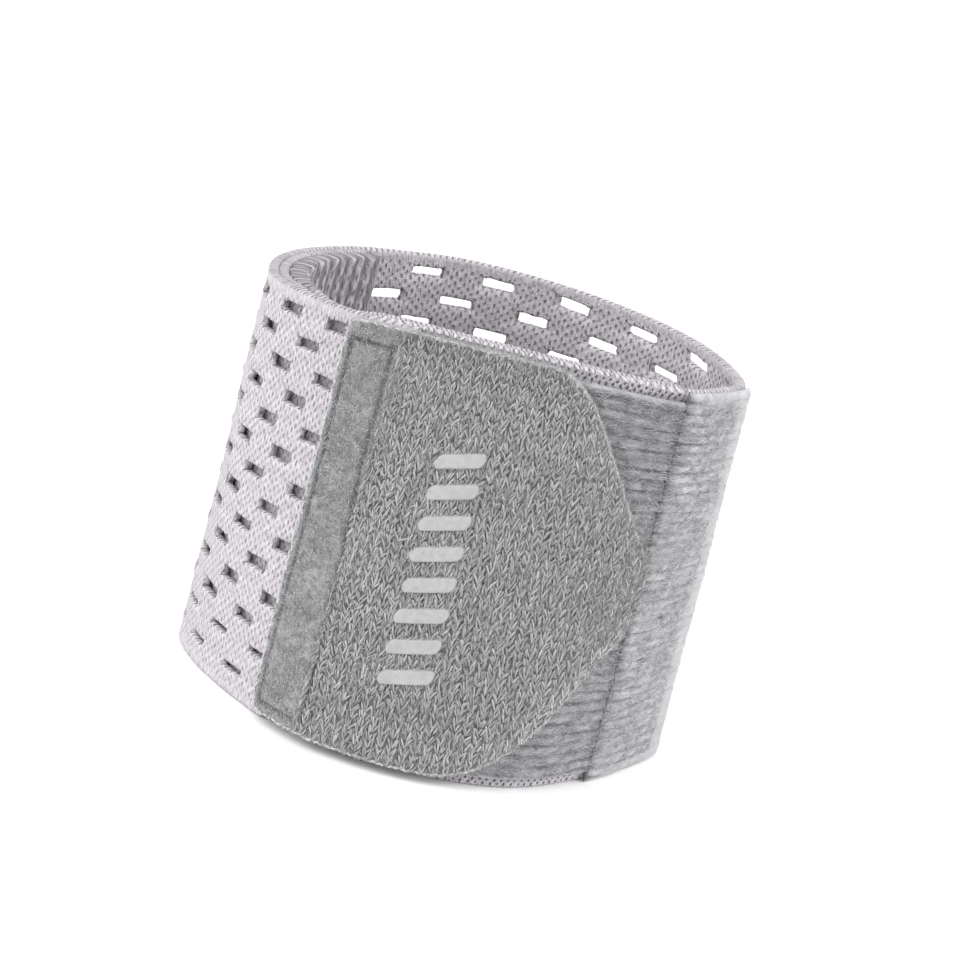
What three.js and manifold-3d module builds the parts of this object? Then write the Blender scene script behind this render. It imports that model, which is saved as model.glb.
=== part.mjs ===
// Wrist support: perforated elastic wrapped into an open loop and closed by a hook and loop tab.
// Millimetres, +Z up. The loop stands on its lower rim, and the closure tab faces -Y.
//
// Every piece is a curved sheet. Its faces are given by two places: "along", the distance round the loop
// at half height, from the middle of the front towards +X, and "out", the distance out from the loop's
// base wall. The base wall is ruled between a lower and an upper outline.
import * as THREE from "three";
import { mergeVertices } from "three/addons/utils/BufferGeometryUtils.js";
import Module from "manifold-3d";

const wasm = await Module();
wasm.setup();

// Driving sizes of the loop
const BAND_HEIGHT = 75;
const LOOP_HALF_WIDTH = 44;
const LOOP_DEPTH = 62;

// Walls, and the gap kept between layers that lie on each other
const ELASTIC = 1.6;
const PILE = 1.4;
const HOOK = 1.0;
const TAB = 1.7;
const CLEARANCE = 0.3;
const EDGE_ROUND = 0.35;

// The doubled inner turn: how far it reaches past the tab's root, and its looseness in the bend
const FOLD_REACH = 60.8;
const FOLD_GAP_FRONT = 0.35;
const FOLD_GAP_BEND = 1.5;
const FOLD_EASE = 26;
const FOLD_TURN_STEPS = 6;

// The doubled turn's upper rim dips where the outer turn is drawn tight beside the tab
const DIP = 1.3;
const DIP_BEFORE_TAB = 6;
const DIP_HALF_LENGTH = 12;

// Slots of the outer turn: rows counted down from the upper rim, staggered by half a pitch. Below the
// last row the elastic is bunched and its slots are pinched shut.
const SLOT_ROWS = 11;
const SLOT_ROW_PITCH = 5.12;
const SLOT_RIM_MARGIN = 3.6;
const SLOT_HEIGHT = 1.7;
const SLOT_LENGTH_SHARE = 0.42;
const SLOT_PITCH_STRETCHED = 16.3;
const SLOT_PITCH_RELAXED = 11.3;
const SLOT_FREE_END = 29;

// Panels
const SELVEDGE = 2;
const END_PANEL_LENGTH = 24;

// The outer turn: how it steps out over the fold, and how its lower rim is tucked up under the tab
const WRAP_STEP_LENGTH = 16;
const WRAP_TUCK = 1.5;

// Closure tab: a pentagon with a blunt round tip. Lengths are from its root, round the loop.
const TAB_LENGTH = 61.7;
const TAB_ROOT = 12;
const TAB_TIP_HEIGHT = 38;
const TAB_TIP_RADIUS = 16;
const TAB_UPPER_SLANT = THREE.MathUtils.degToRad(60.5);
const TAB_LOWER_SLANT = THREE.MathUtils.degToRad(57);
const TAB_UPPER_ROUND = 10;
const TAB_LOWER_ROUND = 16;
const TAB_CORNER = 2.6;
const TAB_TOP_INSET = 0.4;
const TAB_BOTTOM_INSET = 1.9;
const TAB_SEAT = 5;

// Hook patch under the tab
const HOOK_LENGTH = 26;
const HOOK_HEIGHT = 34;
const HOOK_TIP_MARGIN = 13;

// How finely curved sheets are split
const LONGEST_STEP = 6.6;
const TALLEST_STEP = 10.5;
const TIP_STEPS = [25, 42, 57, 68, 77, 85].map(THREE.MathUtils.degToRad);
const TAB_MIDDLE_SHARES = [0.2, 0.4, 0.6, 0.8];
const MOST_TURN = THREE.MathUtils.degToRad(11);

// Outline of the base wall, anticlockwise from the middle of the front. x is a share of LOOP_HALF_WIDTH
// and y a share of LOOP_DEPTH, at the upper rim (top) and at the lower rim (low).
const STATIONS = [
  { name: "front_centre", topX: 0.0, topY: -0.268, lowX: 0.0, lowY: -0.579 },
  { name: "front_right", topX: 0.386, topY: -0.273, lowX: 0.409, lowY: -0.511 },
  { name: "seam", topX: 0.734, topY: -0.242, lowX: 0.72, lowY: -0.317 },
  { name: "right_front", topX: 0.878, topY: -0.15, lowX: 0.894, lowY: -0.132 },
  { name: "right_corner", topX: 0.982, topY: -0.032, lowX: 1.009, lowY: 0.032 },
  { name: "right_back", topX: 0.962, topY: 0.121, lowX: 1.034, lowY: 0.185 },
  { name: "back_right", topX: 0.807, topY: 0.381, lowX: 0.88, lowY: 0.4 },
  { name: "back_mid_right", topX: 0.505, topY: 0.589, lowX: 0.566, lowY: 0.565 },
  { name: "back_apex", topX: 0.091, topY: 0.723, lowX: 0.108, lowY: 0.661 },
  { name: "back_mid_left", topX: -0.33, topY: 0.719, lowX: -0.341, lowY: 0.65 },
  { name: "back_left", topX: -0.682, topY: 0.542, lowX: -0.72, lowY: 0.5 },
  { name: "left_back", topX: -0.918, topY: 0.315, lowX: -0.975, lowY: 0.28 },
  { name: "left", topX: -0.995, topY: 0.065, lowX: -1.043, lowY: 0.069 },
  { name: "left_front", topX: -0.936, topY: -0.103, lowX: -0.945, lowY: -0.129 },
  { name: "tab_edge", topX: -0.611, topY: -0.247, lowX: -0.618, lowY: -0.405 },
  { name: "front_left", topX: -0.318, topY: -0.265, lowX: -0.341, lowY: -0.54 },
];

const smooth = (from, to, x) => THREE.MathUtils.smoothstep(x, from, to);
const mix = THREE.MathUtils.lerp;

function outline(xColumn, yColumn) {
  const points = STATIONS.map(
    (row) => new THREE.Vector3(row[xColumn] * LOOP_HALF_WIDTH, row[yColumn] * LOOP_DEPTH, 0),
  );
  return new THREE.CatmullRomCurve3(points, true, "centripetal");
}

const upperOutline = outline("topX", "topY");
const lowerOutline = outline("lowX", "lowY");

// A point of one outline, moved out from it square to its run
function outlinePoint(curve, t, out) {
  const point = curve.getPoint(t);
  const tangent = curve.getTangent(t);
  return point.add(new THREE.Vector3(tangent.y, -tangent.x, 0).multiplyScalar(out));
}

// Distance round the loop at half height, for evenly spaced values of the outlines' own parameter
const LENGTH_SAMPLES = 800;
const lengths = [0];
for (let i = 1, last = null; i <= LENGTH_SAMPLES; i++) {
  const before = last ?? middlePoint(0);
  last = middlePoint(i / LENGTH_SAMPLES);
  lengths.push(lengths[i - 1] + before.distanceTo(last));
}
const LOOP_LENGTH = lengths[LENGTH_SAMPLES];

function middlePoint(t) {
  return upperOutline.getPoint(t).lerp(lowerOutline.getPoint(t), 0.5);
}

function parameterAt(along) {
  const target = THREE.MathUtils.euclideanModulo(along, LOOP_LENGTH);
  let low = 0;
  let high = LENGTH_SAMPLES;
  while (high - low > 1) {
    const half = (low + high) >> 1;
    if (lengths[half] <= target) low = half;
    else high = half;
  }
  return (low + (target - lengths[low]) / (lengths[high] - lengths[low])) / LENGTH_SAMPLES;
}

function stationPlace(name) {
  const index = STATIONS.findIndex((row) => row.name === name);
  return lengths[Math.round((index / STATIONS.length) * LENGTH_SAMPLES)];
}

const SEAM = stationPlace("seam");
const TAB_EDGE = stationPlace("tab_edge") - LOOP_LENGTH;

// The base wall's point at a place round the loop, a height and a distance out
function wallPoint(along, height, out) {
  const t = parameterAt(along);
  const low = outlinePoint(lowerOutline, t, out);
  const high = outlinePoint(upperOutline, t, out);
  const point = low.lerp(high, height / BAND_HEIGHT);
  point.z = height;
  return point;
}

// How far the loop turns between two places, on the outline that turns more
function turnBetween(from, to) {
  const turnOf = (curve) => curve.getTangent(parameterAt(from)).angleTo(curve.getTangent(parameterAt(to)));
  return Math.max(turnOf(upperOutline), turnOf(lowerOutline));
}

// Places from one to another, with the given ones kept and others added where the loop turns
function places(kept) {
  const out = [kept[0]];
  for (let i = 1; i < kept.length; i++) {
    const from = kept[i - 1];
    const to = kept[i];
    const byLength = Math.ceil(Math.abs(to - from) / LONGEST_STEP);
    const byTurn = Math.ceil(turnBetween(from, to) / MOST_TURN);
    const parts = Math.max(1, byLength, byTurn);
    for (let k = 1; k <= parts; k++) out.push(mix(from, to, k / parts));
  }
  return out;
}

// A closed sheet from a grid of pairs of points, one on each face: face(column, row) gives
// { outer, inner } as THREE.Vector3
function sheet(columns, rows, face) {
  const position = [];
  const index = [];
  const outerAt = (i, j) => 2 * (i * rows + j);
  const innerAt = (i, j) => outerAt(i, j) + 1;
  for (let i = 0; i < columns; i++) {
    for (let j = 0; j < rows; j++) {
      const pair = face(i, j);
      position.push(...pair.outer.toArray(), ...pair.inner.toArray());
    }
  }
  const quad = (a, b, c, d) => index.push(a, b, c, a, c, d);
  const top = rows - 1;
  const end = columns - 1;
  for (let i = 0; i < end; i++) {
    for (let j = 0; j < top; j++) {
      quad(outerAt(i, j), outerAt(i + 1, j), outerAt(i + 1, j + 1), outerAt(i, j + 1));
      quad(innerAt(i, j), innerAt(i, j + 1), innerAt(i + 1, j + 1), innerAt(i + 1, j));
    }
    quad(outerAt(i, 0), innerAt(i, 0), innerAt(i + 1, 0), outerAt(i + 1, 0));
    quad(outerAt(i, top), outerAt(i + 1, top), innerAt(i + 1, top), innerAt(i, top));
  }
  for (let j = 0; j < top; j++) {
    quad(outerAt(0, j), outerAt(0, j + 1), innerAt(0, j + 1), innerAt(0, j));
    quad(outerAt(end, j), innerAt(end, j), innerAt(end, j + 1), outerAt(end, j + 1));
  }
  const geometry = new THREE.BufferGeometry();
  geometry.setAttribute("position", new THREE.Float32BufferAttribute(position, 3));
  geometry.setIndex(index);
  geometry.computeVertexNormals();
  return geometry;
}

// Heights from bottom to top with a rounded lip at each rim, and how much the faces draw in there
const stepsUp = (height) => Math.ceil(height / TALLEST_STEP);

function lippedHeights(bottom, top, steps = stepsUp(BAND_HEIGHT)) {
  const between = Array.from({ length: steps - 1 }, (_, k) => mix(bottom, top, (k + 1) / steps));
  return [
    { z: bottom, draw: EDGE_ROUND },
    { z: bottom + EDGE_ROUND, draw: 0 },
    ...between.map((z) => ({ z, draw: 0 })),
    { z: top - EDGE_ROUND, draw: 0 },
    { z: top, draw: EDGE_ROUND },
  ];
}

// A sheet of even wall whose outer face lies at outAt(along), with heightsAt(along) up its rows
function evenSheet(stops, heightsAt, wall, outAt) {
  const heights = stops.map(heightsAt);
  return sheet(stops.length, heights[0].length, (i, j) => {
    const { z, draw } = heights[i][j];
    return {
      outer: wallPoint(stops[i], z, outAt(stops[i]) - draw),
      inner: wallPoint(stops[i], z, outAt(stops[i]) - wall + draw),
    };
  });
}

// The outer turn lies on the base wall behind the seam, and one layer further out over the fold
const FOLD_END = TAB_EDGE - FOLD_REACH;
const FOLD_PLACE = LOOP_LENGTH + FOLD_END;
const wrapOut = (along) => (ELASTIC + CLEARANCE) * smooth(FOLD_PLACE - WRAP_STEP_LENGTH, FOLD_PLACE, along);

function solidOf(geometry) {
  const bare = geometry.clone();
  bare.deleteAttribute("normal");
  bare.deleteAttribute("uv");
  const merged = mergeVertices(bare, 1e-4);
  return new wasm.Manifold(
    new wasm.Mesh({
      numProp: 3,
      vertProperties: new Float32Array(merged.attributes.position.array),
      triVerts: new Uint32Array(merged.index.array),
    }),
  );
}

function geometryOf(solid) {
  const mesh = solid.getMesh();
  const geometry = new THREE.BufferGeometry();
  geometry.setAttribute("position", new THREE.BufferAttribute(mesh.vertProperties, 3));
  geometry.setIndex(new THREE.BufferAttribute(mesh.triVerts, 1));
  geometry.computeVertexNormals();
  return geometry;
}

// A block that cuts one slot through the outer turn, square to the wall there
function slotCutter(from, to, height) {
  const along = (from + to) / 2;
  const out = wrapOut(along) - ELASTIC / 2;
  const near = wallPoint(from, height, out);
  const run = wallPoint(to, height, out).sub(near).normalize();
  const up = new THREE.Vector3(0, 0, 1);
  const turned = new THREE.Matrix4().makeBasis(run, new THREE.Vector3().crossVectors(up, run), up);
  turned.setPosition(wallPoint(along, height, out));
  return solidOf(new THREE.BoxGeometry(to - from, 4 * ELASTIC, SLOT_HEIGHT).applyMatrix4(turned));
}

// The elastic is stretched round the back and relaxed where it lies on the fold
const slotPitch = (along) =>
  mix(SLOT_PITCH_STRETCHED, SLOT_PITCH_RELAXED, smooth(FOLD_PLACE - FOLD_EASE, FOLD_PLACE + FOLD_EASE, along));

function wrapBandGeometry() {
  const start = SEAM + CLEARANCE / 2;
  const tabEdge = LOOP_LENGTH + TAB_EDGE;
  const stops = places([start, tabEdge, tabEdge + TAB_ROOT]);
  const tuckAt = (along) => WRAP_TUCK * smooth(tabEdge, tabEdge + TAB_ROOT / 3, along);
  let band = solidOf(
    evenSheet(stops, (along) => lippedHeights(tuckAt(along), BAND_HEIGHT), ELASTIC, wrapOut),
  );
  let middle = start + SLOT_FREE_END;
  for (let column = 0; middle < tabEdge - SLOT_PITCH_RELAXED / 2; column++) {
    const half = (slotPitch(middle) * SLOT_LENGTH_SHARE) / 2;
    for (let row = column % 2; row < SLOT_ROWS; row += 2) {
      const height = BAND_HEIGHT - SLOT_RIM_MARGIN - row * SLOT_ROW_PITCH;
      band = band.subtract(slotCutter(middle - half, middle + half, height));
    }
    middle += slotPitch(middle) / 2;
  }
  return geometryOf(band);
}

// The doubled inner turn, as one sheet that runs out along the base wall and back inside it
function foldedBandGeometry() {
  const seamEnd = SEAM - CLEARANCE / 2;
  const gapAt = (along) => mix(FOLD_GAP_BEND, FOLD_GAP_FRONT, smooth(TAB_EDGE - FOLD_EASE, TAB_EDGE, along));
  const run = places([seamEnd, TAB_EDGE, FOLD_END]);
  const outerRun = run.map((along) => ({ outer: [along, 0], inner: [along, -ELASTIC] }));
  const turn = [];
  for (let k = 1; k < FOLD_TURN_STEPS; k++) {
    const angle = (Math.PI * k) / FOLD_TURN_STEPS;
    const middle = -ELASTIC - FOLD_GAP_BEND / 2;
    const rim = ELASTIC + FOLD_GAP_BEND / 2;
    const hollow = FOLD_GAP_BEND / 2;
    turn.push({
      outer: [FOLD_END - rim * Math.sin(angle), middle + rim * Math.cos(angle)],
      inner: [FOLD_END - hollow * Math.sin(angle), middle + hollow * Math.cos(angle)],
    });
  }
  const innerRun = [...run].reverse().map((along) => ({
    outer: [along, -2 * ELASTIC - gapAt(along)],
    inner: [along, -ELASTIC - gapAt(along)],
  }));
  const path = [...outerRun, ...turn, ...innerRun].reverse();
  const dipMiddle = TAB_EDGE - DIP_BEFORE_TAB;
  const topAt = (along) => BAND_HEIGHT - DIP * (1 - smooth(0, DIP_HALF_LENGTH, Math.abs(along - dipMiddle)));
  const heights = path.map(({ outer }) => lippedHeights(0, topAt(outer[0])));
  return sheet(path.length, heights[0].length, (i, j) => {
    const { outer, inner } = path[i];
    const { z, draw } = heights[i][j];
    const middle = [(outer[0] + inner[0]) / 2, (outer[1] + inner[1]) / 2];
    const pull = (2 * draw) / ELASTIC;
    const at = (face) => wallPoint(mix(face[0], middle[0], pull), z, mix(face[1], middle[1], pull));
    return { outer: at(outer), inner: at(inner) };
  });
}

function loopPanelGeometry() {
  const stops = places([TAB_EDGE + TAB_ROOT + SELVEDGE, 0, SEAM - CLEARANCE / 2]);
  const heights = lippedHeights(SELVEDGE, BAND_HEIGHT - SELVEDGE);
  return evenSheet(stops, () => heights, PILE, () => CLEARANCE + PILE);
}

function endPanelGeometry() {
  const start = SEAM + CLEARANCE / 2;
  const stops = places([start, start + END_PANEL_LENGTH]);
  const heights = lippedHeights(0, BAND_HEIGHT);
  return evenSheet(stops, () => heights, PILE, () => CLEARANCE + PILE);
}

// The lesser of two lengths, rounded where they cross
function roundedLeast(a, b, round) {
  const overlap = Math.max(0, round - Math.abs(a - b));
  return Math.min(a, b) - overlap ** 2 / (4 * round);
}

// Half height of the tab's point above or below its tip at a distance from its root: a slant at an angle
// to the band's run, cut off at a reach and rounded there
function tabReach(run, slant, reach, round) {
  const past = run - (TAB_LENGTH - TAB_TIP_RADIUS);
  const arcStart = TAB_TIP_RADIUS * Math.sin(slant);
  const onSlant = (TAB_TIP_RADIUS - past * Math.sin(slant)) / Math.cos(slant);
  const onArc = Math.sqrt(Math.max(0, TAB_TIP_RADIUS ** 2 - past ** 2));
  const beforeCorner = Math.max(0, TAB_CORNER - run);
  const corner = TAB_CORNER - Math.sqrt(TAB_CORNER ** 2 - beforeCorner ** 2);
  return roundedLeast(past > arcStart ? onArc : onSlant, reach, round) - corner;
}

// Upper and lower edge of the tab at a distance from its root
function tabEdges(run) {
  const upperReach = BAND_HEIGHT - TAB_TOP_INSET - TAB_TIP_HEIGHT;
  const lowerReach = TAB_TIP_HEIGHT - TAB_BOTTOM_INSET;
  return {
    upper: TAB_TIP_HEIGHT + tabReach(run, TAB_UPPER_SLANT, upperReach, TAB_UPPER_ROUND),
    lower: TAB_TIP_HEIGHT - tabReach(run, TAB_LOWER_SLANT, lowerReach, TAB_LOWER_ROUND),
  };
}

// The tab lies on the outer turn at its root, over the hook patch in its middle, and on the pile round its edge
const ROOT_SEAT = ELASTIC + 2 * CLEARANCE;
const PILE_SEAT = PILE + 2 * CLEARANCE;
const HOOK_SEAT = PILE_SEAT + HOOK + CLEARANCE;

function tabSeat(run, height) {
  const { upper, lower } = tabEdges(run);
  const fromEdge = Math.min(upper - height, height - lower, TAB_LENGTH - run);
  const lift = smooth(0, TAB_SEAT, fromEdge) * smooth(TAB_ROOT, TAB_ROOT + TAB_SEAT, run);
  const flat = mix(ROOT_SEAT, PILE_SEAT, smooth(TAB_ROOT, TAB_ROOT + TAB_SEAT, run));
  return mix(flat, HOOK_SEAT, lift);
}

// Shares of the tab's height at a run: close together near its edges, where it dips to the pile
function tabHeights(run) {
  const { upper, lower } = tabEdges(run);
  const seat = Math.min(TAB_SEAT, (upper - lower) / 3);
  const dip = [0, EDGE_ROUND, seat / 2, seat];
  const below = dip.map((d) => lower + d);
  const above = dip.map((d) => upper - d).reverse();
  const between = TAB_MIDDLE_SHARES.map((share) => mix(lower + seat, upper - seat, share));
  return [...below, ...between, ...above];
}

function closureTabGeometry() {
  const tipStart = TAB_LENGTH - TAB_TIP_RADIUS;
  const roundTip = TIP_STEPS.map((angle) => tipStart + TAB_TIP_RADIUS * Math.sin(angle));
  const kept = [0, EDGE_ROUND, TAB_CORNER, TAB_ROOT, TAB_ROOT + TAB_SEAT, tipStart, ...roundTip];
  const stops = places(kept.map((run) => TAB_EDGE + run));
  const grid = stops.map((along) => tabHeights(along - TAB_EDGE));
  const rows = grid[0].length;
  return sheet(stops.length, rows, (i, j) => {
    const run = stops[i] - TAB_EDGE;
    const atRim = j === 0 || j === rows - 1 || i === 0 || i === stops.length - 1;
    const draw = atRim ? EDGE_ROUND : 0;
    const seat = tabSeat(run, grid[i][j]);
    return {
      outer: wallPoint(stops[i], grid[i][j], seat + TAB - draw),
      inner: wallPoint(stops[i], grid[i][j], seat + draw),
    };
  });
}

function hookPatchGeometry() {
  const end = TAB_EDGE + TAB_LENGTH - HOOK_TIP_MARGIN;
  const stops = places([end - HOOK_LENGTH, end]);
  const bottom = TAB_TIP_HEIGHT - HOOK_HEIGHT / 2;
  const heights = lippedHeights(bottom, bottom + HOOK_HEIGHT, stepsUp(HOOK_HEIGHT));
  return evenSheet(stops, () => heights, HOOK, () => PILE_SEAT + HOOK);
}

function piece(name, geometry, color, roughness) {
  const material = new THREE.MeshStandardMaterial({ color, roughness, metalness: 0 });
  const mesh = new THREE.Mesh(geometry, material);
  mesh.name = name;
  return mesh;
}

const ELASTIC_COLOR = 0xcfc8cd;
const PILE_COLOR = 0xa6a7a9;
const TAB_COLOR = 0x9d9ea0;
const HOOK_COLOR = 0x8e8f92;

const group = new THREE.Group();
group.add(
  piece("wrap_band", wrapBandGeometry(), ELASTIC_COLOR, 0.85),
  piece("folded_band", foldedBandGeometry(), ELASTIC_COLOR, 0.85),
  piece("loop_panel", loopPanelGeometry(), PILE_COLOR, 0.95),
  piece("end_panel", endPanelGeometry(), PILE_COLOR, 0.95),
  piece("closure_tab", closureTabGeometry(), TAB_COLOR, 0.92),
  piece("hook_patch", hookPatchGeometry(), HOOK_COLOR, 0.8),
);

// The origin is under the middle of the footprint
const box = new THREE.Box3().setFromObject(group);
const centre = box.getCenter(new THREE.Vector3());
group.position.set(-centre.x, -centre.y, -box.min.z);

export default group;
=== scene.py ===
# Wrist support: slotted knitted elastic, ribbed pile panels and a fuzzy knit pull tab.
import math
import bpy
import bmesh
import numpy as np
from mathutils import Matrix, Vector


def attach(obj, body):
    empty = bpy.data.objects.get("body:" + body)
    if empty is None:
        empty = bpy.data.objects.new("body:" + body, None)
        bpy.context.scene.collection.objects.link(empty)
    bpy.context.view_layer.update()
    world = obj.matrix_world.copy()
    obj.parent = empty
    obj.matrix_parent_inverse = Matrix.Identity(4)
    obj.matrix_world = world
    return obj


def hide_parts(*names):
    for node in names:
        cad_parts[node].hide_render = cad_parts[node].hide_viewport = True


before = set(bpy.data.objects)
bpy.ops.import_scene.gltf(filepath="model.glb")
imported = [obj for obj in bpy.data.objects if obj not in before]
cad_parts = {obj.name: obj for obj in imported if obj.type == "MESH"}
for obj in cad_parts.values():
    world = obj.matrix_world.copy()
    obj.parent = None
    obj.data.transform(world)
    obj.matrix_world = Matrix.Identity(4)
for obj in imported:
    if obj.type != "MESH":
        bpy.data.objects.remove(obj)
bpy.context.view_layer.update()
scene = bpy.context.scene

# Sizes of the loop in millimetres, as in the frame: "along" is the distance round the loop at half
# height, from the middle of the front towards +X, and "out" the distance out from the base wall
MM = 0.001
BAND_HEIGHT = 75.0
LOOP_HALF_WIDTH = 44.0
LOOP_DEPTH = 62.0
ELASTIC = 1.6
PILE = 1.4
HOOK = 1.0
TAB = 1.7
CLEARANCE = 0.3
SELVEDGE = 2.0
END_PANEL_LENGTH = 24.0
FOLD_REACH = 60.8
FOLD_GAP_FRONT = 0.35
FOLD_GAP_BEND = 1.5
FOLD_EASE = 26.0
SEAM_GAP = 0.04
WRAP_STEP_LENGTH = 16.0
WRAP_TUCK = 1.5
TAB_LENGTH = 61.7
TAB_ROOT = 12.0
TAB_TIP_HEIGHT = 38.0
TAB_TIP_RADIUS = 16.0
TAB_UPPER_SLANT = math.radians(60.5)
TAB_LOWER_SLANT = math.radians(57)
TAB_UPPER_ROUND = 10.0
TAB_LOWER_ROUND = 16.0
TAB_CORNER = 2.6
TAB_TOP_INSET = 0.4
TAB_BOTTOM_INSET = 1.9
TAB_SEAT = 5.0
PLACE = np.array([0.476, -3.349, 0.0])

# Millimetres of cloth in one unit of a UV layer
UV_UNIT = 100.0

# Slots of the elastic, in staggered rows counted down from the upper rim
SLOT_ROWS = 14
SLOT_ROW_PITCH = 5.12
SLOT_RIM_MARGIN = 3.6
SLOT_LENGTH_SHARE = 0.42
SLOT_HEIGHT = 1.9
SLOT_PITCH_STRETCHED = 16.3
SLOT_PITCH_RELAXED = 11.3
SLOT_FREE_END = 29.0
SLOT_SHOWN_MARGIN = 1.0
PINCHED_ROWS = 2
PINCHED_SHARE = 0.42

# Scales of the cloths: stitches of the elastic and of the tab, ribs of the pile, and the bound rims
WALE = 0.72
COURSE = 1.75
KNIT_COLUMN = 1.8
KNIT_ROW = 1.42
RIB = 1.9
RIM_ROUND = 0.45
RIM_LOOP = 1.9

# Outline of the base wall: the name of each station, then its x and y at the upper rim and at the lower
# rim, as shares of LOOP_HALF_WIDTH and LOOP_DEPTH
STATIONS = [
    ("front_centre", 0.0, -0.268, 0.0, -0.579),
    ("front_right", 0.386, -0.273, 0.409, -0.511),
    ("seam", 0.734, -0.242, 0.72, -0.317),
    ("right_front", 0.878, -0.15, 0.894, -0.132),
    ("right_corner", 0.982, -0.032, 1.009, 0.032),
    ("right_back", 0.962, 0.121, 1.034, 0.185),
    ("back_right", 0.807, 0.381, 0.88, 0.4),
    ("back_mid_right", 0.505, 0.589, 0.566, 0.565),
    ("back_apex", 0.091, 0.723, 0.108, 0.661),
    ("back_mid_left", -0.33, 0.719, -0.341, 0.65),
    ("back_left", -0.682, 0.542, -0.72, 0.5),
    ("left_back", -0.918, 0.315, -0.975, 0.28),
    ("left", -0.995, 0.065, -1.043, 0.069),
    ("left_front", -0.936, -0.103, -0.945, -0.129),
    ("tab_edge", -0.611, -0.247, -0.618, -0.405),
    ("front_left", -0.318, -0.265, -0.341, -0.54),
]


def smooth(start, end, x):
    share = np.clip((np.asarray(x, float) - start) / (end - start), 0, 1)
    return share * share * (3 - 2 * share)


def mix(a, b, share):
    return a + (b - a) * share


def unit(v):
    return v / np.maximum(np.linalg.norm(v, axis=-1, keepdims=True), 1e-12)


def grid(start, end, across, low, high, up):
    """Places of a grid with this many cells across and up"""
    return np.meshgrid(np.linspace(start, end, across + 1), np.linspace(low, high, up + 1), indexing="ij")


def quads_of(number):
    """Four-cornered faces between the rows and columns of a grid of point numbers"""
    corners = [number[:-1, :-1], number[1:, :-1], number[1:, 1:], number[:-1, 1:]]
    return np.stack(corners, -1).reshape(-1, 4)


def bell(x, middle, width):
    """1 at the middle, falling off smoothly about a width away"""
    return np.exp(-(((x - middle) / width) ** 2))


def corner_cut(to_end, radius):
    """How far a rounded corner cuts in, at a distance from the end it rounds"""
    past = np.maximum(0, radius - to_end)
    return radius - np.sqrt(np.maximum(0, radius**2 - past**2))


class Outline:
    """Closed centripetal Catmull-Rom curve through the stations of one rim"""

    def __init__(self, column):
        shares = np.array([station[column : column + 2] for station in STATIONS])
        here = shares * [LOOP_HALF_WIDTH, LOOP_DEPTH]
        before, after, later = (np.roll(here, shift, axis=0) for shift in (1, -1, -2))
        first, second, third = (
            np.sqrt(np.linalg.norm(b - a, axis=1))[:, None]
            for a, b in ((before, here), (here, after), (after, later))
        )
        across = (after - before) / (first + second)
        beyond = (later - here) / (second + third)
        leave = ((here - before) / first - across + (after - here) / second) * second
        reach = ((after - here) / second - beyond + (later - after) / third) * second
        square = -3 * here + 3 * after - 2 * leave - reach
        self.terms = (here, leave, square, 2 * here - 2 * after + leave + reach)

    def at(self, t):
        place = (t % 1.0) * len(STATIONS)
        index = np.floor(place).astype(int) % len(STATIONS)
        w = (place - np.floor(place))[..., None]
        a, b, c, d = (term[index] for term in self.terms)
        run = unit(b + w * (2 * c + w * 3 * d))
        return a + w * (b + w * (c + w * d)), run


UPPER = Outline(1)
LOWER = Outline(3)
PARAMETERS = np.linspace(0, 1, 801)
MIDDLE = (UPPER.at(PARAMETERS)[0] + LOWER.at(PARAMETERS)[0]) / 2
LENGTHS = np.concatenate([[0], np.cumsum(np.linalg.norm(np.diff(MIDDLE, axis=0), axis=1))])
LOOP_LENGTH = LENGTHS[-1]


def station_place(name):
    index = [station[0] for station in STATIONS].index(name)
    return float(np.interp(index / len(STATIONS), PARAMETERS, LENGTHS))


SEAM = station_place("seam")
TAB_EDGE = station_place("tab_edge") - LOOP_LENGTH
FOLD_END = TAB_EDGE - FOLD_REACH
FOLD_PLACE = LOOP_LENGTH + FOLD_END
FOLD_RUN = SEAM - SEAM_GAP / 2 - FOLD_END

NOISE = np.random.default_rng(4).uniform(-1, 1, (256, 256))


def speckle(x, y, size, seed=0):
    """Smooth noise from -1 to 1, with bumps about size apart"""
    gx = np.asarray(x, float) / size + 17.3 * seed
    gy = np.asarray(y, float) / size + 41.9 * seed
    ix, iy = np.floor(gx).astype(int), np.floor(gy).astype(int)
    fx, fy = gx - ix, gy - iy
    sx, sy = fx * fx * (3 - 2 * fx), fy * fy * (3 - 2 * fy)
    low = mix(NOISE[ix % 256, iy % 256], NOISE[(ix + 1) % 256, iy % 256], sx)
    high = mix(NOISE[ix % 256, (iy + 1) % 256], NOISE[(ix + 1) % 256, (iy + 1) % 256], sx)
    return mix(low, high, sy)


def wall(along, height, out):
    """A point of the base wall moved out from it. All layers share its slight waves."""
    along, height, out = np.broadcast_arrays(
        np.asarray(along, float), np.asarray(height, float), np.asarray(out, float)
    )
    t = np.interp(along % LOOP_LENGTH, LENGTHS, PARAMETERS)
    share = (height / BAND_HEIGHT)[..., None]
    wave = 0.22 * np.sin(2 * np.pi * 5 * t + height / 19) * np.sin(height / 14 + 12.6 * t)
    ends = []
    for rim in (LOWER, UPPER):
        point, run = rim.at(t)
        ends.append(point + np.stack([run[..., 1], -run[..., 0]], -1) * (out + wave)[..., None])
    flat = mix(ends[0], ends[1], share)
    return np.concatenate([flat, height[..., None]], -1) + PLACE


def frame_at(along, height, out):
    """Point, run round the loop, rise and outward normal of the wall"""
    step = 0.1
    run = unit(wall(along + step, height, out) - wall(along - step, height, out))
    rise = unit(wall(along, height + step, out) - wall(along, height - step, out))
    return wall(along, height, out), run, rise, unit(np.cross(run, rise))


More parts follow.
